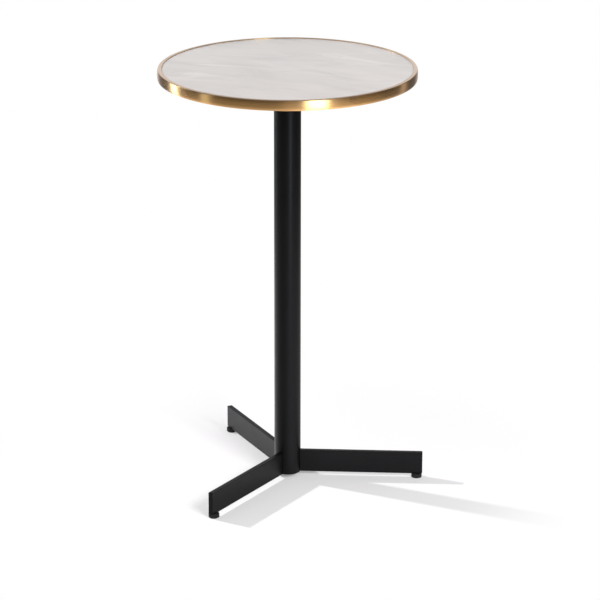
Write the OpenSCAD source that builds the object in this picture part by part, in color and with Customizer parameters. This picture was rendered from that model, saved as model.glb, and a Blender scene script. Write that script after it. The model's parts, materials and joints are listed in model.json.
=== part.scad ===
// Round bar table: a stone top in a brass edge band on a steel column, with a
// three-legged base of flat bar that stands on screw glides.
// Millimetres, +Z up. The origin is on the floor, under the middle of the column.

/* [Table] */
// Height of the table, from the floor to the lip of the edge band
table_h = 1040; // [700:5:1150]

/* [Top] */
// Diameter of the top over its edge band
top_d = 618; // [500:1:800]
// Thickness of the stone slab
slab_t = 12; // [8:0.5:20]
// Thickness of the backing board under the slab
board_t = 10; // [9:0.5:18]
// Thickness of the edge band's metal
rim_t = 1.2; // [0.8:0.1:2]
// Inside radius of the bend between the band's side and its lip
rim_bend_r = 0.8; // [0.4:0.1:1.5]
// Width of the lip that covers the slab's edge
lip_w = 10.5; // [5:0.5:20]
// How far the edge band hangs below the backing board
rim_drop = 0.8; // [0.4:0.1:3]

/* [Mounting plate] */
// Width of the square mounting plate
plate_w = 280; // [200:5:340]
// Thickness of the mounting plate
plate_t = 5; // [4:0.5:8]
// Radius of the plate's corners
plate_corner_r = 20; // [5:1:30]
// Distance from the plate's edges to its screw holes
screw_inset = 20; // [14:1:40]
// Height of the boss that centres the column
boss_h = 20; // [14:1:40]
// Diameter of the boss's spigot, which passes through the plate
spigot_d = 30; // [20:1:40]

/* [Top screws] */
// Diameter of the screws that hold the plate to the board
screw_d = 6; // [5:0.5:8]
// Length of the screws under the head
screw_len = 14; // [12:1:16]
// Diameter of the screw head
screw_head_d = 11; // [10:0.5:16]
// Height of the screw head
screw_head_h = 3.3; // [2.5:0.1:6]
// Width across the flats of the hexagonal socket in the screw head
screw_key = 4; // [3:0.5:5]
// Depth of that socket
screw_key_depth = 2; // [1:0.1:2.3]
// Diameter of the washers
screw_washer_d = 14; // [12:0.5:18]
// Thickness of the washers
screw_washer_t = 1.6; // [1:0.1:2.5]
// Outer diameter of the threaded inserts
insert_d = 9; // [8.5:0.5:12]
// Length of the threaded inserts
insert_len = 8.6; // [7:0.1:9]

/* [Column] */
// Outer diameter of the column tube
column_d = 65; // [60:0.5:90]
// Wall thickness of the column tube
column_wall = 2; // [1.5:0.25:3]

/* [Tie rod] */
// Diameter of the tie rod
rod_d = 12; // [8:1:14]
// Height of the tie rod nut
nut_h = 10.8; // [6:0.1:13]
// Width of the nut across its flats
nut_af = 19; // [17:1:24]
// Diameter of the washer on the tie rod
rod_washer_d = 25; // [20:0.5:27]
// Thickness of that washer
rod_washer_t = 2.5; // [1.5:0.5:4]
// How far the rod stands out of its nut
rod_end = 1.5; // [0.5:0.5:3]

/* [Base] */
// Distance from the column's axis to the end of a leg
leg_reach = 335; // [250:1:450]
// Height of the flat bar of a leg
leg_h = 56; // [45:1:80]
// Thickness of the flat bar
leg_t = 12; // [9:0.5:14]
// Radius of the corners at a leg's end, seen from its side
leg_corner_r = 3; // [1:0.5:8]
// Radius of the bar's long edges
leg_edge_r = 0.8; // [0.3:0.1:2]
// Diameter of the hub inside the foot of the column
hub_d = 40; // [36:1:44]
// Diameter of the pocket for the tie rod nut in the hub
pocket_d = 29; // [28:0.5:31]
// Thickness of the cap that closes the pocket
cap_t = 2; // [1:0.5:4]
// Size of the weld beads between legs and hub
weld_r = 3; // [2:0.5:4]

/* [Glides] */
// Distance from a leg's end to the axis of its glide
glide_inset = 14; // [13:0.5:40]
// Diameter of the glide's stud
stud_d = 6; // [4:0.5:7]
// How far the glide can be screwed out
glide_travel = 10; // [4:1:14]
// Length of stud that stays in the leg when the glide is screwed right out
stud_grip = 15; // [8:1:20]
// Diameter of the collar that turns the stud
collar_d = 26; // [20:0.5:30]
// Height of the collar
collar_h = 4.4; // [2:0.1:6]
// Number of grip flutes round the collar
collar_flutes = 20; // [8:1:30]
// Radius of a grip flute
flute_r = 0.7; // [0.4:0.1:1.2]
// Diameter of the glide's pad
pad_d = 26; // [22:0.5:34]
// Height of the pad
pad_h = 5; // [4.5:0.1:8]
// Radius of the pad's and the collar's outer edges
pad_edge_r = 0.9; // [0.3:0.1:0.9]
// Diameter of the stud's head, which turns inside the pad
stud_head_d = 12; // [9:0.5:16]
// Thickness of the stud's head
stud_head_t = 1.6; // [1:0.1:2]
// Width of the pad's rim round the sole
sole_rim = 1.8; // [1.2:0.1:4]
// Thickness of the rubber sole
sole_t = 2; // [1.6:0.1:3]
// Depth to which the sole is let into the pad
sole_recess = 1; // [0.4:0.1:1.2]

/* [Fits] */
// Gap between the slab or the board and the edge band
top_gap = 0.3; // [0.1:0.1:1]
// Gap between a leg and the sides of its slot in the column
slot_gap = 0.2; // [0.1:0.05:0.5]
// Gap all round a part that drops into a bore or a pocket
loose_gap = 0.2; // [0.1:0.05:0.4]
// Radial gap between a thread and its tapped hole
thread_gap = 0.05; // [0.02:0.01:0.08]
// Gap between the turning stud or collar and what it faces
glide_gap = 0.3; // [0.2:0.05:0.5]

/* [Hidden] */

// Legs stand at equal angles; the first points along +X
leg_angles = [0, 120, 240];

// Overlap that lets a cut break cleanly through a face
cut = 1;

// Heights of the glide, from the floor up
pad_z = sole_t - sole_recess;
pad_top_z = pad_z + pad_h;
sole_seat_r = pad_d / 2 - sole_rim;
collar_z = pad_top_z + glide_gap;
collar_top_z = collar_z + collar_h;
leg_z = collar_top_z + glide_gap;
leg_top_z = leg_z + leg_h;
stud_top_z = leg_z + glide_travel + stud_grip;
tapped_top_z = stud_top_z + stud_d / 2;
stud_head_z = pad_z + sole_recess + glide_gap;
glide_r = leg_reach - glide_inset;

// Heights of the top, from the lip of the edge band down
slab_z = table_h - rim_t - slab_t;
board_z = slab_z - board_t;
rim_z = board_z - rim_drop;
plate_z = board_z - plate_t;

// Widths inside the top
rim_inner_r = top_d / 2 - rim_t;
slab_r = rim_inner_r - top_gap;
screw_pitch = plate_w - 2 * screw_inset;

// Column, tie rod and hub
column_r = column_d / 2;
bore_r = column_r - column_wall;
hub_r = hub_d / 2;
pocket_h = cap_t + rod_end + nut_h + rod_washer_t + loose_gap;
rod_washer_z = leg_z + pocket_h - rod_washer_t;
nut_z = rod_washer_z - nut_h;
rod_z = nut_z - rod_end;
rod_top_z = plate_z + plate_t - loose_gap;
rod_hole_r = rod_d / 2 + loose_gap;

// Facets of a full circle, for ordinary, wide and tiny round parts
$fn = 96;
wide_fn = 180;
tiny_fn = 24;

// Rectangle of the given size, centred, with corners of radius r
module rounded_rect(w, h, r) {
    square([w - 2 * r, h], center = true);
    square([w, h - 2 * r], center = true);
    for (x = [-1, 1], y = [-1, 1])
        translate([x * (w / 2 - r), y * (h / 2 - r)]) circle(r);
}

// Disc with rounded outer edges, standing on z = 0
module round_disc(d, h, r) {
    rotate_extrude() {
        square([d / 2 - r, h]);
        translate([0, r]) square([d / 2, h - 2 * r]);
        for (z = [r, h - r]) translate([d / 2 - r, z]) circle(r);
    }
}

// Places its children at each screw of the mounting plate
module at_screws() {
    for (x = [-1, 1], y = [-1, 1])
        translate([x * screw_pitch / 2, y * screw_pitch / 2, 0]) children();
}

// Turns its children to leg number n, counted from 1
module at_leg(n) {
    rotate([0, 0, leg_angles[n - 1]]) children();
}

// Places its children on the axis of glide number n
module at_glide(n) {
    at_leg(n) translate([glide_r, 0, 0]) children();
}

module marble_slab() {
    color("gainsboro")
    rotate_extrude($fn = wide_fn)
        translate([0, slab_z])
            polygon([[0, 0], [slab_r, 0], [slab_r, slab_t - rim_bend_r],
                     [slab_r - rim_bend_r, slab_t], [0, slab_t]]);
}

// Section of the edge band: its side, its bend and the lip over the slab
module rim_section() {
    outer_r = rim_bend_r + rim_t;
    bend_x = top_d / 2 - outer_r;
    bend_z = table_h - outer_r;
    translate([rim_inner_r, rim_z]) square([rim_t, bend_z - rim_z]);
    translate([top_d / 2 - lip_w, table_h - rim_t])
        square([lip_w - outer_r, rim_t]);
    intersection() {
        difference() {
            translate([bend_x, bend_z]) circle(outer_r);
            translate([bend_x, bend_z]) circle(rim_bend_r);
        }
        translate([bend_x, bend_z]) square(outer_r + cut);
    }
}

module brass_rim() {
    color("goldenrod") rotate_extrude($fn = wide_fn) rim_section();
}

module backing_board() {
    color("dimgray")
    difference() {
        translate([0, 0, board_z]) cylinder(h = board_t, r = slab_r, $fn = wide_fn);
        at_screws() translate([0, 0, board_z - cut])
            cylinder(h = board_t + 2 * cut, d = insert_d);
    }
}

module threaded_inserts() {
    color("gold")
    at_screws() translate([0, 0, board_z]) difference() {
        cylinder(h = insert_len, d = insert_d);
        translate([0, 0, -cut]) cylinder(h = insert_len + 2 * cut, r = screw_d / 2 + thread_gap);
    }
}

module top_screws() {
    head_z = plate_z - screw_washer_t - screw_head_h;
    color("silver")
    at_screws() translate([0, 0, head_z]) difference() {
        union() {
            cylinder(h = screw_head_h, d = screw_head_d);
            cylinder(h = screw_head_h + screw_len, d = screw_d);
        }
        translate([0, 0, -cut])
            cylinder(h = cut + screw_key_depth, r = screw_key / 2 / cos(30), $fn = 6);
    }
}

module screw_washers() {
    color("lightgray")
    at_screws() translate([0, 0, plate_z - screw_washer_t]) difference() {
        cylinder(h = screw_washer_t, d = screw_washer_d);
        translate([0, 0, -cut])
            cylinder(h = screw_washer_t + 2 * cut, r = screw_d / 2 + loose_gap);
    }
}

module mounting_plate() {
    color("#202022")
    difference() {
        translate([0, 0, plate_z])
            linear_extrude(plate_t) rounded_rect(plate_w, plate_w, plate_corner_r);
        translate([0, 0, plate_z - cut])
            cylinder(h = plate_t + 2 * cut, r = spigot_d / 2 + loose_gap);
        at_screws() translate([0, 0, plate_z - cut])
            cylinder(h = plate_t + 2 * cut, r = screw_d / 2 + loose_gap);
    }
}

module column_boss() {
    color("gray")
    difference() {
        union() {
            translate([0, 0, plate_z - boss_h]) cylinder(h = boss_h, r = bore_r - loose_gap);
            translate([0, 0, plate_z - boss_h]) cylinder(h = boss_h + plate_t, d = spigot_d);
        }
        translate([0, 0, plate_z - boss_h - cut])
            cylinder(h = boss_h + plate_t + 2 * cut, r = rod_d / 2 + thread_gap);
    }
}

// The tube rests on the legs by the roofs of its three slots
module column_tube() {
    color("#1a1a1c")
    difference() {
        translate([0, 0, leg_z]) cylinder(h = plate_z - leg_z, r = column_r, $fn = wide_fn);
        translate([0, 0, leg_z - cut])
            cylinder(h = plate_z - leg_z + 2 * cut, r = bore_r, $fn = wide_fn);
        for (n = [1:3]) at_leg(n)
            translate([0, -leg_t / 2 - slot_gap, leg_z - cut])
                cube([column_d, leg_t + 2 * slot_gap, leg_h + cut]);
    }
}

module tie_rod() {
    color("silver") translate([0, 0, rod_z]) cylinder(h = rod_top_z - rod_z, d = rod_d);
}

module tie_rod_washer() {
    color("lightgray")
    translate([0, 0, rod_washer_z]) difference() {
        cylinder(h = rod_washer_t, d = rod_washer_d);
        translate([0, 0, -cut]) cylinder(h = rod_washer_t + 2 * cut, r = rod_hole_r);
    }
}

module tie_rod_nut() {
    color("silver")
    translate([0, 0, nut_z]) difference() {
        cylinder(h = nut_h, r = nut_af / 2 / cos(30), $fn = 6);
        translate([0, 0, -cut]) cylinder(h = nut_h + 2 * cut, r = rod_d / 2 + thread_gap);
    }
}

module base_hub() {
    color("#1c1c1e")
    translate([0, 0, leg_z]) difference() {
        cylinder(h = leg_h, r = hub_r);
        translate([0, 0, -cut]) cylinder(h = leg_h + 2 * cut, r = rod_hole_r);
        translate([0, 0, -cut]) cylinder(h = pocket_h + cut, d = pocket_d);
    }
}

module hub_cap() {
    color("#101012")
    translate([0, 0, leg_z]) cylinder(h = cap_t, r = pocket_d / 2 - loose_gap);
}

// Convex bead in each corner between a leg's side and the hub
module hub_welds() {
    corner_x = sqrt(hub_r * hub_r - leg_t * leg_t / 4);
    color("#1c1c1e")
    for (n = [1:3], side = [-1, 1]) at_leg(n)
        translate([0, 0, leg_z + leg_edge_r + weld_r])
            linear_extrude(leg_h - 2 * leg_edge_r - 2 * weld_r) difference() {
                translate([corner_x, side * leg_t / 2]) circle(weld_r);
                circle(hub_r);
                translate([0, -leg_t / 2]) square([hub_d, leg_t]);
            }
}

// Flat bar on edge, with eased long edges and a rounded outer end
module leg_bar(n) {
    middle_z = leg_z + leg_h / 2;
    color("#1c1c1e")
    at_leg(n) difference() {
        intersection() {
            translate([0, 0, middle_z]) rotate([90, 0, 90])
                linear_extrude(leg_reach) rounded_rect(leg_t, leg_h, leg_edge_r);
            translate([0, leg_t / 2 + cut, middle_z]) rotate([90, 0, 0])
                linear_extrude(leg_t + 2 * cut)
                    rounded_rect(2 * leg_reach, leg_h, leg_corner_r);
            translate([0, 0, leg_z - cut])
                linear_extrude(leg_h + 2 * cut)
                    rounded_rect(2 * leg_reach, leg_t, leg_edge_r);
        }
        translate([0, 0, leg_z - cut]) cylinder(h = leg_h + 2 * cut, r = hub_r);
        translate([glide_r, 0, leg_z - cut])
            cylinder(h = tapped_top_z - leg_z + cut, r = stud_d / 2 + thread_gap);
    }
}

// Threaded stud whose head is held inside the pad
module glide_stud(n) {
    color("silver")
    at_glide(n) {
        translate([0, 0, stud_head_z]) cylinder(h = stud_head_t, d = stud_head_d);
        translate([0, 0, stud_head_z]) cylinder(h = stud_top_z - stud_head_z, d = stud_d);
    }
}

// Fluted collar that is moulded on the stud and turns it
module glide_collar(n) {
    color("#151517")
    at_glide(n) translate([0, 0, collar_z]) difference() {
        round_disc(collar_d, collar_h, pad_edge_r);
        translate([0, 0, -cut]) cylinder(h = collar_h + 2 * cut, d = stud_d);
        for (i = [0:collar_flutes - 1]) rotate([0, 0, i * 360 / collar_flutes])
            translate([collar_d / 2 + flute_r / 2, 0, -cut])
                cylinder(h = collar_h + 2 * cut, r = flute_r, $fn = tiny_fn);
    }
}

// Pad that is snapped over the stud's head, with a recess for the sole
module glide_pad(n) {
    color("#111113")
    at_glide(n) translate([0, 0, pad_z]) difference() {
        round_disc(pad_d, pad_h, pad_edge_r);
        translate([0, 0, -cut]) cylinder(h = sole_recess + cut, r = sole_seat_r);
        translate([0, 0, stud_head_z - glide_gap - pad_z])
            cylinder(h = stud_head_t + 2 * glide_gap, r = stud_head_d / 2 + glide_gap);
        translate([0, 0, sole_recess]) cylinder(h = pad_h + cut, r = stud_d / 2 + glide_gap);
    }
}

module glide_sole(n) {
    color("#2a2a2a") at_glide(n) cylinder(h = sole_t, r = sole_seat_r - loose_gap);
}

marble_slab();
brass_rim();
backing_board();
threaded_inserts();
top_screws();
screw_washers();
mounting_plate();
column_boss();
column_tube();
tie_rod();
tie_rod_washer();
tie_rod_nut();
base_hub();
hub_cap();
hub_welds();
leg_bar(1);  // leg_bar_1
leg_bar(2);  // leg_bar_2
leg_bar(3);  // leg_bar_3
glide_stud(1);  // glide_stud_1
glide_stud(2);  // glide_stud_2
glide_stud(3);  // glide_stud_3
glide_collar(1);  // glide_collar_1
glide_collar(2);  // glide_collar_2
glide_collar(3);  // glide_collar_3
glide_pad(1);  // glide_pad_1
glide_pad(2);  // glide_pad_2
glide_pad(3);  // glide_pad_3
glide_sole(1);  // glide_sole_1
glide_sole(2);  // glide_sole_2
glide_sole(3);  // glide_sole_3
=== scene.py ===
import json
import math

import bmesh
import bpy
from bmesh.types import BMEdge, BMVert
from bpy.props import FloatProperty, FloatVectorProperty, IntProperty, PointerProperty
from bpy.types import NodeSocket, Operator, Panel, PropertyGroup
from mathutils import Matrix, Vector


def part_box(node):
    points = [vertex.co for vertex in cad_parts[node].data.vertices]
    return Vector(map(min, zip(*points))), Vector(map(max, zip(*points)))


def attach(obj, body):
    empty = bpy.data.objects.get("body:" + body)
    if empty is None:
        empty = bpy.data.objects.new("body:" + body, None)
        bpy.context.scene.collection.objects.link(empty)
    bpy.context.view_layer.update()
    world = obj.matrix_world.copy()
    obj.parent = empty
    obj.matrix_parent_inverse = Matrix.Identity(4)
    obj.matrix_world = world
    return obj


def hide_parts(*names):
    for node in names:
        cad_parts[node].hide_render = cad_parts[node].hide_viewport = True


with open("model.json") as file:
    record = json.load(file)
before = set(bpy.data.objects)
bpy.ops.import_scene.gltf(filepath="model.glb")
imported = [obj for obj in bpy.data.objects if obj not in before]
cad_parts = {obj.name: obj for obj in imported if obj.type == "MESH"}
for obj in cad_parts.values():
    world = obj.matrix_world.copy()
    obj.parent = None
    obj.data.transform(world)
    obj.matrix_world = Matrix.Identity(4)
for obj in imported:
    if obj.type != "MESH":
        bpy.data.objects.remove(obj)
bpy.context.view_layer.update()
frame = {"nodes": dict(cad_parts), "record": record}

bl_info = {
    "name": "Round bar table",
    "version": (1, 0, 0),
    "blender": (4, 5, 0),
    "location": "3D View > Sidebar > Bar Table",
    "description": "Dresses the frame of a stone bar table with a brass edge band and three legs",
    "category": "Add Mesh",
}

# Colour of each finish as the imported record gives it
RECORD_COLORS = {m["slot"]: tuple(m["base_color"]) for m in frame["record"]["materials"]}
# Numbers that the frame's names give the legs and their glides
LEGS = (1, 2, 3)
WHITE = (1, 1, 1, 1)

# Points closer than this are one point
MERGE = 1e-6
# Sharpest turn between two faces that still shades as one smooth surface
SMOOTH_ANGLE = math.radians(50)
# Turn between two flat faces of a CAD node below which they are one face
FLAT_ANGLE = math.radians(0.5)
# Corners sharper than this are eased on the copies of CAD nodes
CORNER_ANGLE = math.radians(50)


# Places that the frame gives


def node_points(node):
    return [v.co for v in frame["nodes"][node].data.vertices]


def inner_radius(node):
    """Distance from the table's axis to a round node's nearest point."""
    return min(p.xy.length for p in node_points(node))


def flat_radius(node):
    """Radius of the outer edge of a round node's flat top."""
    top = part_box(node)[1].z
    return max(p.xy.length for p in node_points(node) if p.z > top - MERGE)


def middle_and_half(values):
    """Middle of some values and half their spread."""
    return (max(values) + min(values)) / 2, (max(values) - min(values)) / 2


def glide_axis(number):
    """Middle of a glide's stud, on the floor."""
    low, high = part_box(f"glide_stud_{number}")
    return Vector(((low.x + high.x) / 2, (low.y + high.y) / 2, 0))


def glide_shank():
    """Radius of a glide's stud above its head."""
    return middle_and_half([p.x for p in node_points("glide_stud_1") if p.z > STUD_HIGH.z - MERGE])[1]


BAND_LOW, BAND_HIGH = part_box("brass_rim")
SLAB_LOW, SLAB_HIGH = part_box("marble_slab")
STUD_LOW, STUD_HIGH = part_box("glide_stud_1")
COLLAR_LOW, COLLAR_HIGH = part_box("glide_collar_1")
SOLE_LOW, SOLE_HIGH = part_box("glide_sole_1")
SCREW_LOW, SCREW_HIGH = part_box("top_screws")
WASHER_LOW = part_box("screw_washers")[0]


# Sizes that a user would leave alone

# Widths of the eased edges of small parts and of the board
FINE_EDGE = 0.0002
BOARD_EDGE = 0.0005
# Radius of the lower edges of the stone and the soles
BLUNT_EDGE = 0.0003
# Steps of a plain round shape in a full turn, and of a thread in each of its turns
ROUND_STEPS = 96
THREAD_STEPS = 36

# Cuts that let the band's side bulge, and the power by which it falls back from its middle
CROWN_CUTS = 11
CROWN_POWER = 3

# Shares of the pitch at which a thread's crest begins and ends
CREST = (0.44, 0.56)
# Turns of a thread past each end of its rod, before it is cut to length
SPARE_TURNS = 1.5

# Height of the straight side of a screw's head, and of the chamfers of its shank
SCREW_SIDE = 0.0006
SCREW_CHAMFER = 0.0006
# Share of the head's radius that is flat at its end, and the steps of the dome round it
HEAD_FLAT = 0.62
DOME_STEPS = 6
# Width and depth of the socket's chamfered mouth, and radius of its tip, as shares of the key
MOUTH_WIDTH = 1.06
MOUTH_DEPTH = 0.03
SOCKET_TIP = 0.15
# Depth of the cone in which the socket ends
SOCKET_CONE = 0.0003

# Chamfer of a glide stud's upper end, and height over which its thread runs out
STUD_CHAMFER = 0.0008
THREAD_RUNOUT = 0.0004
# Facets round a collar for each of its flutes
FLUTE_FACETS = 12
# Depth of a sole's grooves, and half the width of their floor
GROOVE_DEPTH = 0.0004

# The coat's lightness against its colour in the settings
COAT_GAIN = 0.2
# How much finer the brass is brushed across the band than along it
BRUSHING = 140
# Depths under the lip's face between which the lip's painted reflection, paler than the side, gives
# way to the side's colour
LIP_SHEEN_DEPTHS = (0.0001, 0.0008)
# Where the stone's pale wisps gather
WISPS = ((0.17, 0.11), (-0.23, -0.02))

# The photograph's camera, worked out from the outlines of the top, the column and the feet
CAMERA_PLACE = (0.3639, -6.2539, 2.6163)
CAMERA_TURN = (math.radians(70.98), 0, math.radians(3.33))
CAMERA_LENS = 163.14
CAMERA_SENSOR = 36
CAMERA_SHIFT = (0.0208, 0.00075)

# How far the floor paper goes each way, and how far it lies under the soles
PAPER_REACH = 40
PAPER_DROP = 0.0001
# Distances from the table's axis between which the paper becomes plain white
PAPER_FADE = (0.42, 0.76)
# Cosine of the angle to the lamps' line at which the metal begins to mirror brighter paper
LAMP_LINE = 0.42

# Inner and outer radius of the room that the metal mirrors, and its lowest and highest level
ROOM_RADII = (1.7, 6.5)
ROOM_HEIGHTS = (0.02, 5.5)
# Light level of the ceiling, and heights between which the walls take it on
CEILING_TONE = 0.2
CEILING_FADE = (5.0, 5.4)
# Light level of the paper on the room's floor, and radii between which it gives way to the walls'
PAPER_TONE = 0.85
PAPER_END = (1.7, 2.7)
# Light levels of the walls by their bearing, in degrees to the right of the camera
WALL_TONES = (
    # Behind the table, on the left
    (-178, 0.8), (-164, 1.0), (-152, 0.4), (-143, 0.14), (-121, 0.16),
    # The key lamp's panel
    (-117, 6), (-112, 6.5), (-109, 0.2),
    # On the left, with one pale strip
    (-81, 0.1), (-76, 1.2), (-73, 1.2), (-68, 0.1), (-40, 0.09), (-12, 0.1),
    # Round the camera
    (4, 0.27), (15, 0.2),
    # The softbox's panel
    (17.5, 7.5), (32, 7.5), (35, 0.5),
    # On the right, with one pale strip
    (49, 0.25), (58, 0.13), (80, 0.1), (112, 0.1), (119, 0.7), (127, 0.1),
    # Behind the table, on the right
    (148, 0.15), (156, 0.45), (168, 0.9),
)
BRIGHTEST = max(level for bearing, level in WALL_TONES)
# Levels over this one are a little cooler in colour than the others
LAMP_LEVEL = 1.1
LAMP_TINT = (0.81, 0.96, 1)
WALL_TINT = (0.95, 0.96, 1)


# Sizes and colours that a user would change


class BandSettings(PropertyGroup):
    crown: FloatProperty(
        name="Crown", description="How far the middle of the band's wall stands out past its edges",
        default=0.001, min=0, max=0.002, unit="LENGTH", precision=5)
    lower_edge: FloatProperty(
        name="Lower edge", description="Radius of the rolled lower edge",
        default=0.0009, min=0.0002, max=0.0011, unit="LENGTH", precision=5)
    lip_edge: FloatProperty(
        name="Lip edge", description="Radius of the lip's inner edge",
        default=0.0004, min=0.0001, max=0.0008, unit="LENGTH", precision=5)
    facets: IntProperty(
        name="Facets", description="Facets of the band and the stone in a full turn",
        default=288, min=96, max=720)
    color: FloatVectorProperty(
        name="Brass", description="Colour of the brushed brass",
        default=(0.80, 0.445, 0.165), subtype="COLOR", size=3, min=0, max=1)


class TopSettings(PropertyGroup):
    stone_edge: FloatProperty(
        name="Stone edge", description="Width of the stone's eased upper edge under the lip",
        default=0.0008, min=0.0002, max=0.002, unit="LENGTH", precision=5)
    stone_color: FloatVectorProperty(
        name="Stone", description="Ground colour of the stone",
        default=(0.692, 0.652, 0.628), subtype="COLOR", size=3, min=0, max=1)
    board_color: FloatVectorProperty(
        name="Board", description="Stain of the backing board",
        default=RECORD_COLORS["board"], subtype="COLOR", size=3, min=0, max=1)


class SteelSettings(PropertyGroup):
    ease: FloatProperty(
        name="Eased edge", description="Width of the steel's eased edges, halved on the legs",
        default=0.0004, min=0.0001, max=0.001, unit="LENGTH", precision=5)
    coat_color: FloatVectorProperty(
        name="Powder coat", description="Colour of the powder coat",
        default=RECORD_COLORS["black_coat"], subtype="COLOR", size=3, min=0, max=1)
    zinc_color: FloatVectorProperty(
        name="Zinc", description="Colour of the zinc-plated screws, studs and washers",
        default=RECORD_COLORS["zinc_steel"], subtype="COLOR", size=3, min=0, max=1)
    bare_color: FloatVectorProperty(
        name="Bare steel", description="Colour of the uncoated boss inside the column",
        default=RECORD_COLORS["bare_steel"], subtype="COLOR", size=3, min=0, max=1)


class FastenerSettings(PropertyGroup):
    pitch: FloatProperty(
        name="Pitch", description="Pitch of the screws' and the studs' threads",
        default=0.001, min=0.0005, max=0.002, unit="LENGTH", precision=5)
    thread_depth: FloatProperty(
        name="Thread depth", description="Depth of the thread",
        default=0.00055, min=0.0002, max=0.001, unit="LENGTH", precision=5)
    key: FloatProperty(
        name="Key", description="Width across the flats of the socket in the screw heads",
        default=0.004, min=0.002, max=0.005, unit="LENGTH", precision=5)
    key_depth: FloatProperty(
        name="Key depth", description="Depth of that socket",
        default=0.002, min=0.001, max=0.0025, unit="LENGTH", precision=5)


class GlideSettings(PropertyGroup):
    flutes: IntProperty(
        name="Flutes", description="Grip flutes round a collar",
        default=20, min=8, max=30)
    flute_depth: FloatProperty(
        name="Flute depth", description="Depth of a grip flute",
        default=0.0004, min=0.0001, max=0.0008, unit="LENGTH", precision=5)
    edge: FloatProperty(
        name="Edge", description="Radius of the collar's outer edges",
        default=0.0009, min=0.0003, max=0.0015, unit="LENGTH", precision=5)
    grooves: IntProperty(
        name="Grooves", description="Grooves in the underside of a sole",
        default=3, min=1, max=5)
    plastic_color: FloatVectorProperty(
        name="Plastic", description="Colour of the pads, the collars and the cap under the column",
        default=RECORD_COLORS["black_plastic"], subtype="COLOR", size=3, min=0, max=1)
    rubber_color: FloatVectorProperty(
        name="Rubber", description="Colour of the soles",
        default=RECORD_COLORS["sole_rubber"], subtype="COLOR", size=3, min=0, max=1)


class StudioSettings(PropertyGroup):
    key_power: FloatProperty(
        name="Key lamp", description="Power of the hard lamp behind the table, on the left",
        default=190, min=0, unit="POWER")
    key_place: FloatVectorProperty(
        name="Key lamp's place", description="Where it stands",
        default=(-3.853, 1.525, 2.747), subtype="TRANSLATION", size=3)
    key_size: FloatProperty(
        name="Key lamp's size", description="Its diameter",
        default=0.17, min=0.01, unit="LENGTH")
    fill_power: FloatProperty(
        name="Softbox", description="Power of the softbox in front, on the right",
        default=108, min=0, unit="POWER")
    fill_place: FloatVectorProperty(
        name="Softbox's place", description="Where it stands",
        default=(1.736, -2.779, 2.294), subtype="TRANSLATION", size=3)
    fill_width: FloatProperty(
        name="Softbox's width", description="Its width",
        default=1.45, min=0.1, unit="LENGTH")
    fill_height: FloatProperty(
        name="Softbox's height", description="Its height",
        default=1.1, min=0.1, unit="LENGTH")
    ambient: FloatProperty(
        name="Ambient light", description="Strength of the even light from all round",
        default=0.34, min=0)
    floor_color: FloatVectorProperty(
        name="Floor", description="Colour of the floor paper",
        default=(0.955, 0.935, 0.955), subtype="COLOR", size=3, min=0, max=1)
    floor_white: FloatProperty(
        name="Floor's white share", description="Share of plain white in the floor near the table",
        default=0.27, min=0, max=1)


class BarTableSettings(PropertyGroup):
    band: PointerProperty(type=BandSettings)
    top: PointerProperty(type=TopSettings)
    steel: PointerProperty(type=SteelSettings)
    fasteners: PointerProperty(type=FastenerSettings)
    glides: PointerProperty(type=GlideSettings)
    studio: PointerProperty(type=StudioSettings)


# Mesh helpers


def add_object(name, data):
    made = bpy.data.objects.new(name, data)
    bpy.context.scene.collection.objects.link(made)
    return made


def mesh_object(bm, name, material):
    """Makes a finished mesh an object with one material."""
    mesh = bpy.data.meshes.new(name)
    bm.to_mesh(mesh)
    bm.free()
    mesh.materials.append(material)
    return add_object(name, mesh)


def to_piece(bm, name, body, material):
    """Makes a finished mesh a piece that rides on a body, with smooth faces and sharp corners."""
    piece = mesh_object(bm, name, material)
    mesh = piece.data
    # A CAD node's own normals don't fit its eased copy
    if "custom_normal" in mesh.attributes:
        mesh.attributes.remove(mesh.attributes["custom_normal"])
    mesh.shade_smooth()
    mesh.set_sharp_from_angle(angle=SMOOTH_ANGLE)
    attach(piece, body)
    return piece


def seal(bm):
    """Merges doubled points and turns all faces outwards."""
    bmesh.ops.remove_doubles(bm, verts=bm.verts, dist=MERGE)
    bmesh.ops.recalc_face_normals(bm, faces=bm.faces)


def eased_copy(node, name, body, material, width, trim=0.0):
    """Merged copy of a CAD node with eased corners, which stands for the node.

    A trim draws the outer wall of a round node in by as much.
    """
    bm = bmesh.new()
    bm.from_mesh(frame["nodes"][node].data)
    bmesh.ops.remove_doubles(bm, verts=bm.verts, dist=MERGE)
    bmesh.ops.dissolve_limit(bm, angle_limit=FLAT_ANGLE, verts=bm.verts, edges=bm.edges)
    if trim > 0:
        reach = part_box(node)[1].x
        for v in bm.verts:
            if v.co.xy.length > reach - MERGE:
                v.co.xy = v.co.xy.normalized() * (reach - trim)
    corners = [e for e in bm.edges if e.is_manifold and e.calc_face_angle() > CORNER_ANGLE]
    bmesh.ops.bevel(
        bm, geom=corners, affect="EDGES", offset_type="OFFSET", offset=width,
        segments=2, profile=0.5, material=-1, clamp_overlap=True)
    piece = to_piece(bm, name, body, material)
    # The narrow eased edges take their shading from the wide faces, which so stay flat
    piece.modifiers.new("face_weights", "WEIGHTED_NORMAL").keep_sharp = True
    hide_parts(node)


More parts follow.
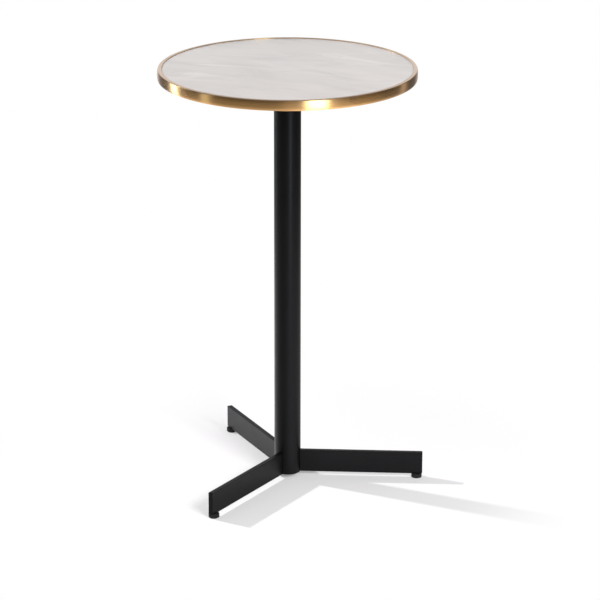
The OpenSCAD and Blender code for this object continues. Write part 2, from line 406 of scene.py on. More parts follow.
def section(bm, corners, segments=6):
    """Closed section in the XZ plane, from corners that each give x, z and a rounding radius."""
    verts = [bm.verts.new((x, 0, z)) for x, z, radius in corners]
    bm.faces.new(verts)
    for vert, (x, z, radius) in zip(verts, corners):
        if radius > 0:
            bmesh.ops.bevel(
                bm, geom=[vert], affect="VERTICES", offset_type="OFFSET", offset=radius,
                segments=segments, profile=0.5, material=-1)
    bmesh.ops.delete(bm, geom=list(bm.faces), context="FACES_ONLY")
    on_axis = [e for e in bm.edges if all(v.co.x < MERGE for v in e.verts)]
    bmesh.ops.delete(bm, geom=on_axis, context="EDGES")


def spin(bm, geom, steps, turns=1, rise=0.0):
    """Spins points and edges round the table's axis; a rise with each step makes a helix."""
    bmesh.ops.spin(
        bm, geom=geom, cent=(0, 0, 0), axis=(0, 0, 1), dvec=(0, 0, rise),
        angle=2 * math.pi * turns, steps=steps * turns, use_merge=rise == 0)


def turn(bm, steps):
    """Turns a section into a closed round shape."""
    spin(bm, list(bm.verts) + list(bm.edges), steps)
    seal(bm)


def grow(bm, rim, rise, radius):
    """Extrudes a rim by a rise and brings it to a radius; returns the new rim.

    The radius may be a function of the angle.
    """
    made = bmesh.ops.extrude_edge_only(bm, edges=rim)["geom"]
    for v in points_of(made):
        reach = radius(math.atan2(v.co.y, v.co.x)) if callable(radius) else radius
        v.co.xy = v.co.xy.normalized() * reach
        v.co.z += rise
    return [e for e in made if isinstance(e, BMEdge) and e.is_boundary]


def points_of(geom):
    return [v for v in geom if isinstance(v, BMVert)]


def all_of(bm):
    return list(bm.verts) + list(bm.edges) + list(bm.faces)


def hexagon(across_flats):
    """Radius of a hexagon by the angle, with a corner at angle 0."""
    half = math.pi / 6
    return lambda angle: across_flats / 2 / math.cos(angle % (2 * half) - half)


def helix(bm, radius, low, high, sizes):
    """Threaded rod between two heights, open at both ends; returns its lower and upper rim."""
    pitch, root = sizes.pitch, radius - sizes.thread_depth
    start = low - SPARE_TURNS * pitch
    shape = [(root, 0), (radius, CREST[0]), (radius, CREST[1]), (root, 1)]
    verts = [bm.verts.new((r, 0, start + share * pitch)) for r, share in shape]
    edges = [bm.edges.new(pair) for pair in zip(verts, verts[1:])]
    turns = math.ceil((high - low) / pitch) + int(2 * SPARE_TURNS)
    spin(bm, verts + edges, THREAD_STEPS, turns=turns, rise=pitch / THREAD_STEPS)
    bmesh.ops.remove_doubles(bm, verts=bm.verts, dist=MERGE)
    rims = []
    for height, side in ((low, 1), (high, -1)):
        bmesh.ops.bisect_plane(
            bm, geom=all_of(bm), dist=MERGE / 10, plane_co=(0, 0, height), plane_no=(0, 0, side),
            clear_inner=True)
        open_edges = [e for e in bm.edges if e.is_boundary]
        rims.append([e for e in open_edges if all(abs(v.co.z - height) < MERGE for v in e.verts)])
    return rims


def lid(bm, rim):
    """Closes a rim with one face."""
    bmesh.ops.edgeloop_fill(bm, edges=rim)


# Material helpers


class Nodes:
    """A node tree under construction."""

    def __init__(self, tree):
        self.tree = tree

    def link(self, value, socket):
        """Sets a socket to a value or a colour, or links another socket to it."""
        if isinstance(value, NodeSocket):
            self.tree.links.new(value, socket)
        else:
            socket.default_value = value

    def add(self, kind, inputs=None, **settings):
        """Adds a node with its settings, and sets or links its inputs."""
        node = self.tree.nodes.new("ShaderNode" + kind)
        for setting, value in settings.items():
            setattr(node, setting, value)
        for socket, value in (inputs or {}).items():
            self.link(value, node.inputs[socket])
        return node

    def math(self, operation, first, second=0.0):
        return self.add("Math", {0: first, 1: second}, operation=operation).outputs[0]

    def measure(self, operation, vector, other=(0, 0, 0)):
        """A number from one or two vectors, such as a length or a distance."""
        return self.add("VectorMath", {0: vector, 1: other}, operation=operation).outputs["Value"]

    def span(self, value, low, high, start=0.3, end=0.7, smooth=False):
        """Goes from low to high while a value goes from start to end."""
        return self.add(
            "MapRange",
            {"Value": value, "From Min": start, "From Max": end, "To Min": low, "To Max": high},
            interpolation_type="SMOOTHSTEP" if smooth else "LINEAR").outputs["Result"]

    def ramp(self, value, stops):
        """A colour by a value, from stops of position and colour."""
        node = self.add("ValToRGB", {"Fac": value})
        elements = node.color_ramp.elements
        while len(elements) < len(stops):
            elements.new(1)
        for element, (position, color) in zip(elements, stops):
            element.position = position
            element.color = (*color[:3], 1)
        return node.outputs["Color"]

    def mix(self, factor, first, second):
        """Mixes two shaders."""
        return self.add("MixShader", {0: factor, 1: first, 2: second}).outputs[0]

    def glow(self, color, strength):
        return self.add("Emission", {"Color": color, "Strength": strength}).outputs[0]


class Finish(Nodes):
    """A node material under construction, with its patterns on Object coordinates.

    It starts from constants for the shader's sockets, whose names have underscores for spaces.
    """

    def __init__(self, name, **constants):
        self.material = bpy.data.materials.new(name)
        self.material.use_nodes = True
        super().__init__(self.material.node_tree)
        self.surface = self.tree.nodes["Principled BSDF"]
        for socket, value in constants.items():
            self.surface.inputs[socket.replace("_", " ")].default_value = value
        self.place = self.add("TexCoord").outputs["Object"]

    def give(self, socket, value):
        self.link(value, self.surface.inputs[socket])

    def stretched(self, lengths, turned=0.0, moved=(0, 0, 0)):
        """Coordinates for a pattern with given lengths along its axes, turned about Z and moved."""
        inputs = {
            "Vector": self.place, "Scale": lengths, "Rotation": (0, 0, turned), "Location": moved}
        return self.add("Mapping", inputs, vector_type="TEXTURE").outputs["Vector"]

    def noise(self, scale, vector=None, detail=3.0, rough=0.55, bend=0.0):
        return self.add("TexNoise", {
            "Vector": vector or self.place, "Scale": scale, "Detail": detail,
            "Roughness": rough, "Distortion": bend}).outputs["Fac"]

    def ridge(self, value, middle, width, height):
        """As high as given where a value has its middle, and nothing from a width away."""
        away = self.math("ABSOLUTE", self.math("SUBTRACT", value, middle))
        return self.span(away, low=height, high=0, start=0.0, end=width, smooth=True)

    def blend(self, factor, first, second):
        """Mixes two colours."""
        inputs = {0: factor}
        for socket, color in ((6, first), (7, second)):
            inputs[socket] = color if isinstance(color, NodeSocket) else (*color[:3], 1)
        return self.add("Mix", inputs, data_type="RGBA").outputs[2]

    def bump(self, height, strength, distance, under=None):
        inputs = {"Height": height, "Strength": strength, "Distance": distance}
        if under is not None:
            inputs["Normal"] = under
        return self.add("Bump", inputs).outputs["Normal"]


def shade(color, *gains):
    """A colour made lighter or darker, by one gain or by one for each channel."""
    if len(gains) == 1:
        gains *= 3
    return tuple(min(1.0, channel * gain) for channel, gain in zip(color, gains))


def once(make):
    """Makes a finish's material only once, under the function's name, which no slot has."""
    def material(settings):
        return bpy.data.materials.get(make.__name__) or make(settings)
    return material


@once
def powder_coat(settings):
    """Fine-textured black powder coat."""
    coat = Finish(
        "powder_coat", IOR=1.5, Metallic=0.0, Specular_IOR_Level=0.1,
        Specular_Tint=(0.96, 0.93, 1, 1))
    broad = coat.noise(scale=9, detail=4)
    fine = coat.noise(scale=1500, detail=2)
    speck = coat.noise(scale=420, detail=2)
    color = shade(settings.steel.coat_color, COAT_GAIN)
    body = coat.ramp(broad, [(0.3, shade(color, 0.85)), (0.7, shade(color, 1.15))])
    specks = coat.span(speck, low=0, high=0.3, start=0.62, end=0.8)
    coat.give("Base Color", coat.blend(specks, body, shade(color, 1.9)))
    coat.give("Roughness", coat.span(broad, low=0.32, high=0.4))
    peel = coat.bump(speck, strength=0.12, distance=0.0002)
    coat.give("Normal", coat.bump(fine, strength=0.2, distance=0.00008, under=peel))
    return coat.material


@once
def brushed_brass(settings):
    """Brass that is brushed along its length, round the top."""
    brass = Finish(
        "brushed_brass", Metallic=1.0, IOR=1.45, Anisotropic=0.95, Anisotropic_Rotation=0.25,
        Coat_Weight=0.7, Coat_Roughness=0.25)
    apart = brass.add("SeparateXYZ", {0: brass.place}).outputs
    flat = brass.add("CombineXYZ", {"X": apart["X"], "Y": apart["Y"]}).outputs[0]
    # Across the brushing lies the height on the band's side, and the radius on its lip
    across = brass.math("SUBTRACT", apart["Z"], brass.measure("LENGTH", flat))
    across = brass.math("MULTIPLY", across, BRUSHING)
    along = brass.add("CombineXYZ", {"X": apart["X"], "Y": apart["Y"], "Z": across}).outputs[0]
    strokes = brass.noise(scale=11, vector=along, detail=6, rough=0.7)
    scratches = brass.noise(scale=26, vector=along, detail=2, rough=0.5)
    tarnish = brass.noise(scale=14, detail=4, rough=0.6)
    color = settings.band.color
    tone = brass.ramp(strokes, [(0.25, shade(color, 0.86)), (0.75, shade(color, 1.1))])
    tarnished = brass.span(tarnish, low=0, high=0.35, start=0.45, end=0.8)
    tone = brass.blend(tarnished, tone, shade(color, 0.85, 0.74, 0.62))
    # Painted reflection: the lip is painted paler than the side, standing in for the bright
    # surroundings that its flat face mirrors
    shallow, deep = LIP_SHEEN_DEPTHS
    painted_lip_sheen = brass.span(
        apart["Z"], low=0, high=0.6, start=BAND_HIGH.z - deep, end=BAND_HIGH.z - shallow)
    brass.give("Base Color", brass.blend(painted_lip_sheen, tone, shade(color, 0.92, 1.22, 2.2)))
    uneven = brass.math("ADD", strokes, tarnish)
    brass.give("Roughness", brass.span(uneven, low=0.26, high=0.33, start=0.7, end=1.3))
    fine = brass.bump(scratches, strength=0.1, distance=0.00006)
    brass.give("Normal", brass.bump(strokes, strength=0.12, distance=0.00008, under=fine))
    brass.give("Tangent", brass.add("Tangent", direction_type="RADIAL", axis="Z").outputs[0])
    return brass.material


@once
def pale_stone(settings):
    """Pale honed stone with soft clouds, a few faint veins, pale wisps and a fine grain."""
    stone = Finish("pale_stone", IOR=1.5, Metallic=0.0)
    color = settings.top.stone_color
    drawn_out = stone.stretched((2.4, 1, 1), turned=-0.4)
    clouds = stone.noise(scale=14, vector=drawn_out, detail=5, bend=0.6)
    drawn_out = stone.stretched((2, 0.8, 1), turned=-0.3, moved=(3.1, 1.7, 0))
    streaks = stone.noise(scale=9, vector=drawn_out, detail=5, rough=0.5, bend=0.6)
    grain = stone.noise(scale=700, detail=2)
    ground = stone.ramp(clouds, [(0.3, shade(color, 0.9)), (0.5, color), (0.72, shade(color, 1.07))])
    # A vein runs where the streaks' noise crosses its middle value
    vein = stone.ridge(streaks, middle=0.5, width=0.035, height=0.3)
    patchy = stone.span(clouds, low=1, high=0.1, start=0.35, end=0.6)
    veined = stone.blend(
        stone.math("MULTIPLY", vein, patchy), ground, shade(color, 0.82, 0.81, 0.8))
    wisp = stone.ridge(streaks, middle=0.6, width=0.08, height=1)
    gathered = 0.0
    for x, y in WISPS:
        apart = stone.measure("DISTANCE", stone.place, (x, y, SLAB_HIGH.z))
        near = stone.span(apart, low=1, high=0.3, start=0.03, end=0.13, smooth=True)
        gathered = stone.math("MAXIMUM", near, gathered)
    wispy = stone.blend(stone.math("MULTIPLY", wisp, gathered), veined, shade(color, 1.13))
    grains = stone.span(grain, low=0, high=0.06, start=0.5, end=0.8)
    grained = stone.blend(grains, wispy, shade(color, 0.7))
    # Painted light and shade: the stone's colour runs from darker on the left front of the top to
    # lighter on the right back, against the key lamp's fall-off across it
    painted_light_slope = stone.measure("DOT_PRODUCT", stone.place, (1, 0.6, 0))
    gain = stone.span(painted_light_slope, low=0.915, high=1.105, start=-0.3, end=0.3)
    painted_light_stone = stone.add("VectorMath", {0: grained, "Scale": gain}, operation="SCALE")
    stone.give("Base Color", painted_light_stone.outputs[0])
    stone.give("Roughness", stone.span(clouds, low=0.3, high=0.4))
    stone.give("Normal", stone.bump(grain, strength=0.05, distance=0.00005))
    return stone.material


@once
def stained_board(settings):
    """Dark-stained board with its grain along X."""
    board = Finish("stained_board", IOR=1.5, Metallic=0.0, Specular_IOR_Level=0.25)
    color = settings.top.board_color
    drawn_out = board.stretched((2.86, 0.143, 0.143))
    grain = board.noise(scale=9, vector=drawn_out, detail=6, rough=0.65, bend=0.5)
    drawn_out = board.stretched((1.67, 0.0625, 0.0625))
    pores = board.noise(scale=40, vector=drawn_out, detail=2)
    tone = board.ramp(grain, [(0.3, shade(color, 0.6)), (0.7, shade(color, 1.5))])
    open_pores = board.span(pores, low=0, high=0.6, start=0.6, end=0.75)
    board.give("Base Color", board.blend(open_pores, tone, shade(color, 0.35)))
    board.give("Roughness", board.span(grain, low=0.62, high=0.5))
    board.give("Normal", board.bump(pores, strength=0.35, distance=0.0001))
    return board.material


def turned_metal(name, color, roughness, streak):
    """Faintly clouded metal with turning marks; streak is their height against their length."""
    metal = Finish(name, Metallic=1.0, IOR=1.45)
    cloud = metal.noise(scale=160, detail=4)
    marks = metal.noise(scale=60, vector=metal.stretched((1, 1, streak)), detail=3)
    both = metal.math("MULTIPLY", metal.math("ADD", cloud, marks), 0.5)
    tone = metal.ramp(both, [(0.3, shade(color, 0.75)), (0.7, shade(color, 1.15))])
    metal.give("Base Color", tone)
    metal.give("Roughness", metal.span(cloud, low=roughness - 0.07, high=roughness + 0.09))
    metal.give("Normal", metal.bump(marks, strength=0.15, distance=0.00005))
    return metal.material


@once
def zinc_plate(settings):
    return turned_metal("zinc_plate", settings.steel.zinc_color, roughness=0.34, streak=0.025)


@once
def turned_steel(settings):
    return turned_metal("turned_steel", settings.steel.bare_color, roughness=0.48, streak=0.08)


@once
def turned_brass(settings):
    return turned_metal("turned_brass", RECORD_COLORS["insert_brass"], roughness=0.35, streak=0.033)


@once
def moulded_plastic(settings):
    """Black plastic with a fine eroded mould texture."""
    plastic = Finish("moulded_plastic", IOR=1.5, Metallic=0.0, Specular_IOR_Level=0.12)
    color = settings.glides.plastic_color
    fine = plastic.noise(scale=2600, detail=2)
    scuffs = plastic.noise(scale=120, detail=5, rough=0.65)
    plastic.give("Base Color", plastic.ramp(scuffs, [
        (0.3, shade(color, 0.8)), (0.62, shade(color, 1.1)), (0.8, shade(color, 1.9))]))
    plastic.give("Roughness", plastic.span(scuffs, low=0.42, high=0.6))
    plastic.give("Normal", plastic.bump(fine, strength=0.2, distance=0.00004))
    return plastic.material


@once
def grooved_rubber(settings):
    """Dull rubber, dusty where it meets the floor."""
    sole = Finish("grooved_rubber", IOR=1.5, Metallic=0.0, Specular_IOR_Level=0.2)
    color = settings.glides.rubber_color
    dust = sole.noise(scale=300, detail=5, rough=0.7)
    fine = sole.noise(scale=1800, detail=2)
    sole.give("Base Color", sole.ramp(dust, [
        (0.35, shade(color, 0.8)), (0.6, shade(color, 1.1)), (0.8, shade(color, 2.0))]))
    sole.give("Roughness", sole.span(dust, low=0.75, high=0.92))
    sole.give("Normal", sole.bump(fine, strength=0.3, distance=0.00005))
    return sole.material


def dress(node, material):
    """Gives a CAD node that stays a better material."""
    for holder in frame["nodes"][node].material_slots:
        holder.link = "OBJECT"
        holder.material = material


# The pieces


class BARTABLE_OT_brass_band(Operator):
    """Spins the brass band, with its lip over the stone and its rolled lower edge"""
    bl_idname = "bar_table.brass_band"
    bl_label = "Brass Band"

    def execute(self, context):
        settings = context.scene.bar_table
        sizes = settings.band
        outer, low, high = BAND_HIGH.x, BAND_LOW.z, BAND_HIGH.z
        wall = high - SLAB_HIGH.z
        inner, lip = outer - wall, inner_radius("brass_rim")
        bend = outer - flat_radius("brass_rim")
        bm = bmesh.new()
        section(bm, [
            (inner, low, FINE_EDGE),
            (outer, low, sizes.lower_edge),
            (outer, high, bend),
            (lip, high, sizes.lip_edge),
            (lip, high - wall, FINE_EDGE),
            (inner, high - wall, bend - wall)])
        self.bulge(bm, outer, bend, sizes.crown)
        turn(bm, sizes.facets)
        band = to_piece(bm, "brass_band", "table", brushed_brass(settings))
        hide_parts("brass_rim")
        return {"FINISHED"}

    def bulge(self, bm, outer, bend, crown):
        """Draws the edges of the band's side in, so that its middle stands out past them."""
        side = max(
            (e for e in bm.edges if all(v.co.x > outer - MERGE for v in e.verts)),
            key=lambda e: e.calc_length())
        middle, half = middle_and_half([v.co.z for v in side.verts])
        bmesh.ops.subdivide_edges(bm, edges=[side], cuts=CROWN_CUTS)
        for v in bm.verts:
            if v.co.x > outer - bend - MERGE:
                v.co.x -= crown * min(1, abs((v.co.z - middle) / half) ** CROWN_POWER)


class BARTABLE_OT_stone_top(Operator):
    """Spins the stone slab, with its eased edge under the lip"""
    bl_idname = "bar_table.stone_top"
    bl_label = "Stone Top"

    def execute(self, context):
        settings = context.scene.bar_table
        # The band's crown draws its inner wall in, and the stone keeps its gap to that wall
        reach, low, high = SLAB_HIGH.x - settings.band.crown, SLAB_LOW.z, SLAB_HIGH.z
        bm = bmesh.new()
        section(bm, [
            (0, low, 0),
            (reach, low, BLUNT_EDGE),
            (reach, high, settings.top.stone_edge),
            (0, high, 0)], segments=3)
        turn(bm, settings.band.facets)
        slab = to_piece(bm, "stone_top", "table", pale_stone(settings))
        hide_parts("marble_slab")
        return {"FINISHED"}


class BARTABLE_OT_backing_board(Operator):
    """Eases and stains the backing board and dresses the inserts in it"""
    bl_idname = "bar_table.backing_board"
    bl_label = "Backing Board"

    def execute(self, context):
        settings = context.scene.bar_table
        eased_copy(
            "backing_board", "stained_board", "table", stained_board(settings), BOARD_EDGE,
            trim=settings.band.crown)
        dress("threaded_inserts", turned_brass(settings))
        return {"FINISHED"}


class BARTABLE_OT_steelwork(Operator):
    """Eases and dresses the plate, column, hub, cap and legs, and dresses the beads and the boss"""
    bl_idname = "bar_table.steelwork"
    bl_label = "Steelwork"

    def execute(self, context):
        settings = context.scene.bar_table
        coat, ease = powder_coat(settings), settings.steel.ease
        eased_copy("mounting_plate", "top_plate", "table", coat, ease)
        eased_copy("column_tube", "column", "table", coat, ease)
        eased_copy("base_hub", "hub", "table", coat, ease)
        for number in LEGS:
            eased_copy(f"leg_bar_{number}", f"leg_{number}", "table", coat, ease / 2)
        dress("hub_welds", coat)
        eased_copy("hub_cap", "foot_cap", "table", moulded_plastic(settings), ease)
        dress("column_boss", turned_steel(settings))
        return {"FINISHED"}


class BARTABLE_OT_fasteners(Operator):
    """Models the top's socket screws with real threads and dresses the tie rod"""
    bl_idname = "bar_table.fasteners"
    bl_label = "Fasteners"

    def execute(self, context):
        settings = context.scene.bar_table
        metal = zinc_plate(settings)
        # One of the four screws gives the sizes and the place of each
        corner = [p for p in node_points("top_screws") if p.x > 0 and p.y > 0]
        middle, head = middle_and_half([p.x for p in corner])
        shank = middle_and_half([p.x for p in corner if p.z > SCREW_HIGH.z - MERGE])[1]
        bm = self.screw(settings.fasteners, shank, head)
        first = all_of(bm)
        for x, y in ((1, -1), (-1, 1), (-1, -1)):
            copied = bmesh.ops.duplicate(bm, geom=first)["geom"]
            bmesh.ops.translate(bm, verts=points_of(copied), vec=(x * middle, y * middle, 0))
        bmesh.ops.translate(bm, verts=points_of(first), vec=(middle, middle, 0))
        screws = to_piece(bm, "socket_screws", "table", metal)
        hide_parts("top_screws")
        eased_copy("screw_washers", "plate_washers", "table", metal, FINE_EDGE)
        for node in ("tie_rod", "tie_rod_washer", "tie_rod_nut"):
            dress(node, metal)
        return {"FINISHED"}

    def screw(self, sizes, shank, head):
        """Screw on the table's axis, with its threaded shank up and its domed head down."""
        seat, chamfer = WASHER_LOW.z, SCREW_CHAMFER
        bm = bmesh.new()
        lower, upper = helix(bm, shank, seat + 2 * chamfer, SCREW_HIGH.z - chamfer, sizes)
        lid(bm, grow(bm, upper, chamfer, shank - sizes.thread_depth))
        rim = grow(bm, grow(bm, lower, -chamfer, shank), -chamfer, shank)
        rim = grow(bm, grow(bm, rim, 0, head), -SCREW_SIDE, head)
        flat, dome = HEAD_FLAT * head, seat - SCREW_SIDE - SCREW_LOW.z
        for step in range(DOME_STEPS):
            now, then = (math.pi / 2 * s / DOME_STEPS for s in (step, step + 1))
            rise = dome * (math.sin(now) - math.sin(then))
            rim = grow(bm, rim, rise, flat + (head - flat) * math.cos(then))
        mouth_depth = sizes.key * MOUTH_DEPTH
        rim = grow(bm, rim, 0, hexagon(sizes.key * MOUTH_WIDTH))
        rim = grow(bm, rim, mouth_depth, hexagon(sizes.key))
        rim = grow(bm, rim, sizes.key_depth - mouth_depth, hexagon(sizes.key))
        lid(bm, grow(bm, rim, SOCKET_CONE, sizes.key * SOCKET_TIP))
        seal(bm)
        return bm


class BARTABLE_OT_glides(Operator):
    """Models the glides: threaded stud, fluted collar, pad and grooved sole"""
    bl_idname = "bar_table.glides"
    bl_label = "Glides"

    def execute(self, context):
        settings = context.scene.bar_table
        metal, plastic, rubber = (
            zinc_plate(settings), moulded_plastic(settings), grooved_rubber(settings))
        parts = (
            (self.stud(settings), "threaded_stud", "glide_stud", "glide_screw", "zinc_steel", metal),
            (self.collar(settings), "fluted_collar", "glide_collar", "glide_screw", "black_plastic",
             plastic),
            (self.sole(settings), "foot_sole", "glide_sole", "glide_foot", "sole_rubber", rubber))
        for number in LEGS:
            for part in parts:
                self.fit(number, *part)
            eased_copy(
                f"glide_pad_{number}", f"foot_pad_{number}", f"glide_foot_{number}",
                plastic, FINE_EDGE)
        for part in parts:
            part[0].free()
        return {"FINISHED"}

    def fit(self, number, shape, name, node, body, slot, material):
        """Puts a copy of a shape on one glide's axis, where it stands for the CAD node."""
        bm = shape.copy()
        bmesh.ops.translate(bm, verts=bm.verts, vec=glide_axis(number))
        piece = to_piece(bm, f"{name}_{number}", f"{body}_{number}", material)
        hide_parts(f"{node}_{number}")

    def stud(self, settings):
        """Stud whose thread runs out above the collar, with its head in the pad below."""
        shank, head = glide_shank(), (STUD_HIGH.x - STUD_LOW.x) / 2
        bottom, shoulder = sorted({round(p.z, 6) for p in node_points("glide_stud_1")})[:2]
        runout = THREAD_RUNOUT
        bm = bmesh.new()
        lower, upper = helix(
            bm, shank, COLLAR_HIGH.z + 2 * runout, STUD_HIGH.z - STUD_CHAMFER, settings.fasteners)
        lid(bm, grow(bm, upper, STUD_CHAMFER, shank - settings.fasteners.thread_depth))
        rim = grow(bm, grow(bm, lower, -runout, shank), shoulder - COLLAR_HIGH.z - runout, shank)
        rim = grow(bm, rim, 0, head - runout / 2)
        rim = grow(bm, rim, -runout / 2, head)
        rim = grow(bm, rim, bottom - shoulder + runout / 2, head)
        lid(bm, rim)
        seal(bm)
        return bm

    def collar(self, settings):
        """Ring with rounded outer edges, and flutes that fade out over them."""
        sizes = settings.glides
        shank, reach = glide_shank(), (COLLAR_HIGH.x - COLLAR_LOW.x) / 2
        bm = bmesh.new()
        section(bm, [
            (shank, COLLAR_LOW.z, FINE_EDGE),
            (reach, COLLAR_LOW.z, sizes.edge),
            (reach, COLLAR_HIGH.z, sizes.edge),
            (shank, COLLAR_HIGH.z, FINE_EDGE)])
        turn(bm, sizes.flutes * FLUTE_FACETS)
        for v in bm.verts:
            share = (v.co.xy.length - reach + 2 * sizes.edge) / sizes.edge
            wave = math.cos(sizes.flutes * math.atan2(v.co.y, v.co.x))
            cut = sizes.flute_depth * min(1, max(0, share)) * max(0, wave) ** 0.5
            v.co.xy = v.co.xy.normalized() * (v.co.xy.length - cut)
        return bm

    def sole(self, settings):
        """Disc with ring grooves in its underside."""
        low, high, reach = SOLE_LOW.z, SOLE_HIGH.z, (SOLE_HIGH.x - SOLE_LOW.x) / 2
        gap, depth = reach / (settings.glides.grooves + 1), GROOVE_DEPTH
        corners = [(0, low, 0)]
        for groove in range(1, settings.glides.grooves + 1):
            middle = groove * gap
            corners += [
                (middle - 2 * depth, low, 0), (middle - depth, low + depth, 0),
                (middle + depth, low + depth, 0), (middle + 2 * depth, low, 0)]
        corners += [(reach, low, BLUNT_EDGE), (reach, high, FINE_EDGE), (0, high, 0)]
        bm = bmesh.new()
        section(bm, corners, segments=3)
        turn(bm, ROUND_STEPS)
        return bm


class BARTABLE_OT_studio(Operator):
    """Sets the floor, the lamps, the surroundings that the metal mirrors, and the camera"""
    bl_idname = "bar_table.studio"
    bl_label = "Studio"

    def execute(self, context):
        scene, sizes = context.scene, context.scene.bar_table.studio
        scene.view_settings.view_transform = "Standard"
        self.floor(sizes)
        self.room()
        self.sky(scene, sizes)
        self.lamp("key_lamp", "DISK", sizes.key_place, sizes.key_power, sizes.key_size)
        self.lamp(
            "softbox", "RECTANGLE", sizes.fill_place, sizes.fill_power, sizes.fill_width,
            sizes.fill_height)
        self.camera(scene)
        return {"FINISHED"}

    def stage_material(self, name):
        """An empty material for the stage, and its node tree."""
        material = bpy.data.materials.new(name)
        material.use_nodes = True
        material.node_tree.nodes.clear()
        return material, Nodes(material.node_tree)

    def seen(self, nodes, path):
        """1 for the rays that show the background: from the camera, off metal and through glass."""
        mirrored = nodes.math("MAXIMUM", path["Is Glossy Ray"], path["Is Transmission Ray"])
        return nodes.math("MAXIMUM", path["Is Camera Ray"], mirrored)

    def floor(self, sizes):
        """Pale paper: plain white away from the table, and near it with pale shadows."""
        bm = bmesh.new()
        bmesh.ops.create_grid(bm, x_segments=1, y_segments=1, size=PAPER_REACH)
        bmesh.ops.translate(bm, verts=bm.verts, vec=(0, 0, -PAPER_DROP))
        paper, nodes = self.stage_material("floor_paper")
        place = nodes.add("TexCoord").outputs["Object"]
        path = nodes.add("LightPath").outputs
        dull = nodes.add("BsdfDiffuse", {"Color": (*sizes.floor_color, 1)}).outputs[0]
        near, far = PAPER_FADE
        white = nodes.span(
            nodes.measure("LENGTH", place), low=sizes.floor_white, high=1, start=near, end=far,
            smooth=True)
        shown = nodes.mix(white, dull, nodes.glow(WHITE, 1))
        # Along the lamps' line the brass and the coat mirror paper that is brighter than white
        line = Vector(sizes.fill_place) - Vector(sizes.key_place)
        toward = nodes.add("VectorMath", {0: place}, operation="NORMALIZE").outputs[0]
        along = nodes.measure("DOT_PRODUCT", toward, Vector((line.x, line.y, 0)).normalized())
        share = nodes.span(nodes.math("ABSOLUTE", along), low=0, high=1, start=LAMP_LINE, end=1)
        bright = nodes.add("AddShader", {0: shown, 1: dull}).outputs[0]
        gain = nodes.math("MULTIPLY", path["Is Glossy Ray"], share)
        lit = nodes.mix(self.seen(nodes, path), dull, nodes.mix(gain, shown, bright))
        # From below, the paper lets the table's underside be seen
        clear = nodes.add("BsdfTransparent").outputs[0]
        below = nodes.add("NewGeometry").outputs["Backfacing"]
        nodes.add("OutputMaterial", {"Surface": nodes.mix(below, lit, clear)})
        mesh_object(bm, "floor_paper", paper)

    def room(self):
        """Dim walls, ceiling and floor with the lamps' panels, which only glossy surfaces see."""
        bm = bmesh.new()
        (inner, outer), (low, high) = ROOM_RADII, ROOM_HEIGHTS
        rim = [(inner, low), (outer, low), (outer, high), (0, high)]
        verts = [bm.verts.new((x, 0, z)) for x, z in rim]
        edges = [bm.edges.new(pair) for pair in zip(verts, verts[1:])]
        spin(bm, verts + edges, ROUND_STEPS)
        walls, nodes = self.stage_material("studio_walls")
        place = nodes.add("TexCoord").outputs["Object"]
        apart = nodes.add("SeparateXYZ", {0: place}).outputs
        bearing = nodes.math("ARCTAN2", apart["X"], apart["Y"])
        turned = nodes.span(bearing, low=0, high=1, start=-math.pi, end=math.pi)
        stops = sorted((self.wall_share(angle), self.wall_color(level)) for angle, level in WALL_TONES)
        shell = nodes.glow(nodes.ramp(turned, stops), BRIGHTEST)
        start, end = CEILING_FADE
        overhead = nodes.span(apart["Z"], low=0, high=1, start=start, end=end)
        shell = nodes.mix(overhead, shell, nodes.glow(WHITE, CEILING_TONE))
        # The floor paper goes on outside the room's inner rim and darkens away from the table
        start, end = PAPER_END
        outside = nodes.span(nodes.measure("LENGTH", place), low=0, high=1, start=start, end=end)
        shell = nodes.mix(outside, nodes.glow(WHITE, PAPER_TONE), shell)
        nodes.add("OutputMaterial", {"Surface": shell})
        room = mesh_object(bm, "studio_walls", walls)
        room.visible_camera = room.visible_diffuse = room.visible_shadow = False
        room.visible_transmission = room.visible_volume_scatter = False

    def wall_color(self, level):
        """Colour of a place on the walls by its light level, as a share of the brightest."""
        tint = LAMP_TINT if level > LAMP_LEVEL else WALL_TINT
        return tuple(channel * level / BRIGHTEST for channel in tint)

    def wall_share(self, right_of_camera):
        """Place on the ramp of a bearing in degrees."""
        camera = math.atan2(CAMERA_PLACE[0], CAMERA_PLACE[1])
        bearing = camera - math.radians(right_of_camera)
        return (bearing / (2 * math.pi) + 0.5) % 1

    def sky(self, scene, sizes):
        """White behind the table, and a dimmer even light on it."""
        world = bpy.data.worlds.new("studio_air")
        world.use_nodes = True
        scene.world = world
        world.node_tree.nodes.clear()
        nodes = Nodes(world.node_tree)
        seen = self.seen(nodes, nodes.add("LightPath").outputs)
        strength = nodes.span(seen, low=sizes.ambient, high=1, start=0, end=1)
        air = nodes.add("Background", {"Color": WHITE, "Strength": strength})
        nodes.add("OutputWorld", {"Surface": air.outputs[0]})

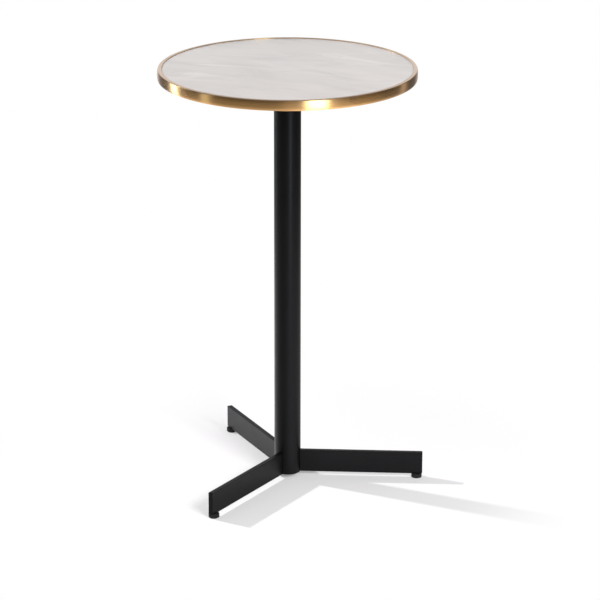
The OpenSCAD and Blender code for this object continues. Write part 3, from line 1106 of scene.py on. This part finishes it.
    def lamp(self, name, shape, place, power, width, height=None):
        """Adds an area lamp that points at the table's foot."""
        data = bpy.data.lights.new(name, "AREA")
        data.shape, data.size, data.energy = shape, width, power
        if height is not None:
            data.size_y = height
        made = add_object(name, data)
        made.location = place
        made.rotation_euler = (-Vector(place)).to_track_quat("-Z", "Y").to_euler()
        # The metal mirrors the bright panels on the walls in the lamps' stead
        made.visible_camera = made.visible_glossy = False

    def camera(self, scene):
        """Stands where the photographer stood."""
        data = bpy.data.cameras.new("camera")
        data.sensor_width, data.lens = CAMERA_SENSOR, CAMERA_LENS
        data.shift_x, data.shift_y = CAMERA_SHIFT
        camera = add_object("camera", data)
        camera.location = CAMERA_PLACE
        camera.rotation_euler = CAMERA_TURN
        scene.camera = camera


class BARTABLE_PT_sidebar(Panel):
    """Lists the steps that dress the table, with their sizes and colours"""
    bl_idname = "BARTABLE_PT_sidebar"
    bl_label = "Bar Table"
    bl_space_type = "VIEW_3D"
    bl_region_type = "UI"
    bl_category = "Bar Table"

    def draw(self, context):
        for step in STEPS:
            self.layout.operator(step.bl_idname)
        for name in BarTableSettings.__annotations__:
            group = getattr(context.scene.bar_table, name)
            box = self.layout.box()
            box.label(text=name.capitalize())
            for prop in type(group).__annotations__:
                box.prop(group, prop)


STEPS = (
    BARTABLE_OT_studio,
    BARTABLE_OT_brass_band,
    BARTABLE_OT_stone_top,
    BARTABLE_OT_backing_board,
    BARTABLE_OT_steelwork,
    BARTABLE_OT_fasteners,
    BARTABLE_OT_glides,
)
CLASSES = (
    BandSettings, TopSettings, SteelSettings, FastenerSettings, GlideSettings, StudioSettings,
    BarTableSettings, *STEPS, BARTABLE_PT_sidebar)


def register():
    for made in CLASSES:
        bpy.utils.register_class(made)
    bpy.types.Scene.bar_table = PointerProperty(type=BarTableSettings)


def unregister():
    del bpy.types.Scene.bar_table
    for made in reversed(CLASSES):
        bpy.utils.unregister_class(made)


def main():
    register()
    bpy.ops.bar_table.studio()
    bpy.ops.bar_table.brass_band()
    bpy.ops.bar_table.stone_top()
    bpy.ops.bar_table.backing_board()
    bpy.ops.bar_table.steelwork()
    bpy.ops.bar_table.fasteners()
    bpy.ops.bar_table.glides()


if __name__ == "__main__":
    main()
